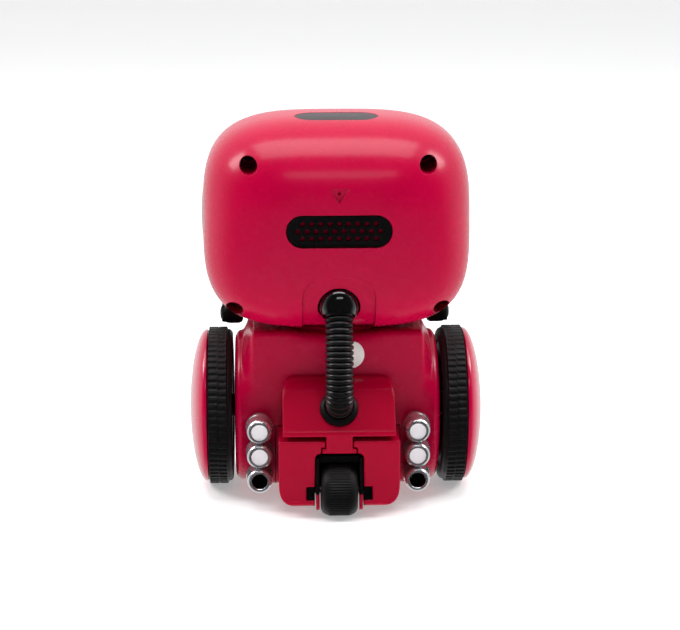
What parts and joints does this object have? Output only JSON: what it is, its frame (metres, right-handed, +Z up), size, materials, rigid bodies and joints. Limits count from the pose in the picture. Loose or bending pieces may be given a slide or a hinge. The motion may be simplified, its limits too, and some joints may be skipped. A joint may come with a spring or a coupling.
{
  "type": "line follower robot",
  "caption": "Palm-sized wheeled toy robot: boxy turning head with speaker grille, corrugated back hose, ribbed drive wheels with dome caps, rear roller and small swinging arms.",
  "frame": {"origin": "on the floor, at the bottom centre of the bounding box", "axes": "+Z up, +Y the way the robot drives, +X to the robot's right; the main axle runs along X, 4.25 mm in front of the origin"},
  "size_m": [0.092, 0.0764, 0.1187],
  "materials": {
    "red_shell": "satin gloss moulded plastic",
    "red_base": "satin gloss moulded plastic, a shade deeper",
    "tyre": "ribbed rubber",
    "black_plastic": "satin",
    "gloss_black": "high gloss",
    "hose": "satin flexible corrugated tube",
    "chrome": "plated plastic, mirror",
    "steel": "plain turned steel",
    "gear_plastic": "natural moulded",
    "circuit_board": "solder-resist green",
    "cell": "plain painted sleeve",
    "sticker": "blank paper label",
    "eye_light": "frosted light ring"
  },
  "bodies": {
    "torso": {"body_rear_shell": "red_shell", "body_front_shell": "red_shell", "pod_cover_left": "red_shell", "pod_cover_right": "red_shell", "chassis_base": "red_base", "battery_door": "red_base", "battery_cell_1": "cell", "battery_cell_2": "cell", "battery_cell_3": "cell", "gearbox_frame": "gear_plastic", "motor_left": "steel", "motor_right": "steel", "neck_ring": "red_base", "main_circuit_board": "circuit_board", "line_sensor_module": "black_plastic", "chest_panel": "gloss_black", "round_sticker": "sticker", "pack_upper_cover": "red_base", "pack_lower_cover": "red_base", "exhaust_pipes_left": "chrome", "exhaust_pipes_right": "chrome", "hose_collar": "black_plastic", "corrugated_hose": "hose", "rear_wheel_carrier": "red_base", "rear_roller_axle": "steel"},
    "head": {"head_rear_shell": "red_shell", "head_front_shell": "red_shell", "face_visor": "gloss_black", "eye_ring_left": "eye_light", "eye_ring_right": "eye_light", "ear_cap_left": "gloss_black", "ear_cap_right": "gloss_black", "touch_panel": "gloss_black", "speaker_grille": "black_plastic", "speaker_driver": "black_plastic", "head_screw_1": "steel", "head_screw_2": "steel", "head_screw_3": "steel", "head_screw_4": "steel", "neck_shaft": "black_plastic", "hose_ball": "gloss_black"},
    "wheel_left": {"tyre_left": "tyre", "wheel_hub_left": "black_plastic", "dome_cap_left": "red_shell", "axle_left": "steel", "output_gear_left": "gear_plastic"},
    "idler_left": {"compound_gear_left": "gear_plastic"},
    "pinion_left": {"motor_pinion_left": "steel"},
    "arm_left": {"arm_left": "black_plastic"},
    "wheel_right": {"tyre_right": "tyre", "wheel_hub_right": "black_plastic", "dome_cap_right": "red_shell", "axle_right": "steel", "output_gear_right": "gear_plastic"},
    "idler_right": {"compound_gear_right": "gear_plastic"},
    "pinion_right": {"motor_pinion_right": "steel"},
    "arm_right": {"arm_right": "black_plastic"},
    "roller": {"rear_roller": "tyre"},
    "switch": {"power_switch_slider": "black_plastic"}
  },
  "joints": [
    {"name": "wheel_left_spin", "type": "hinge", "parent": "torso", "child": "wheel_left", "pos_m": [0, 0.00425, 0.0249], "axis": [1, 0, 0], "continuous": true},
    {"name": "idler_left_spin", "type": "hinge", "parent": "torso", "child": "idler_left", "pos_m": [0, 0.00425, 0.0361], "axis": [1, 0, 0], "continuous": true},
    {"name": "pinion_left_spin", "type": "hinge", "parent": "torso", "child": "pinion_left", "pos_m": [0, -0.00545, 0.0417], "axis": [1, 0, 0], "continuous": true},
    {"name": "arm_left_swing", "type": "hinge", "parent": "torso", "child": "arm_left", "pos_m": [-0.0335, 0.01025, 0.0536], "axis": [1, 0, 0], "range_deg": [-4, 15]},
    {"name": "wheel_right_spin", "type": "hinge", "parent": "torso", "child": "wheel_right", "pos_m": [0, 0.00425, 0.0249], "axis": [1, 0, 0], "continuous": true},
    {"name": "idler_right_spin", "type": "hinge", "parent": "torso", "child": "idler_right", "pos_m": [0, 0.00425, 0.0361], "axis": [1, 0, 0], "continuous": true},
    {"name": "pinion_right_spin", "type": "hinge", "parent": "torso", "child": "pinion_right", "pos_m": [0, -0.00545, 0.0417], "axis": [1, 0, 0], "continuous": true},
    {"name": "arm_right_swing", "type": "hinge", "parent": "torso", "child": "arm_right", "pos_m": [0.0335, 0.01025, 0.0536], "axis": [1, 0, 0], "range_deg": [-4, 15]},
    {"name": "rear_roller_spin", "type": "hinge", "parent": "torso", "child": "roller", "pos_m": [0, -0.03025, 0.008], "axis": [1, 0, 0], "continuous": true},
    {"name": "head_turn", "type": "hinge", "parent": "torso", "child": "head", "pos_m": [0, 0.00425, 0.0544], "axis": [0, 0, 1], "range_deg": [-30, 30], "deforming": ["corrugated_hose"]},
    {"name": "power_switch_slide", "type": "slide", "parent": "torso", "child": "switch", "axis": [0, 1, 0], "range_m": [0, 0.003]}
  ],
  "couplings": [
    {"joint": "idler_left_spin", "follows": "wheel_left_spin", "ratio": -2.5},
    {"joint": "pinion_left_spin", "follows": "wheel_left_spin", "ratio": 6.25},
    {"joint": "idler_right_spin", "follows": "wheel_right_spin", "ratio": -2.5},
    {"joint": "pinion_right_spin", "follows": "wheel_right_spin", "ratio": 6.25}
  ]
}
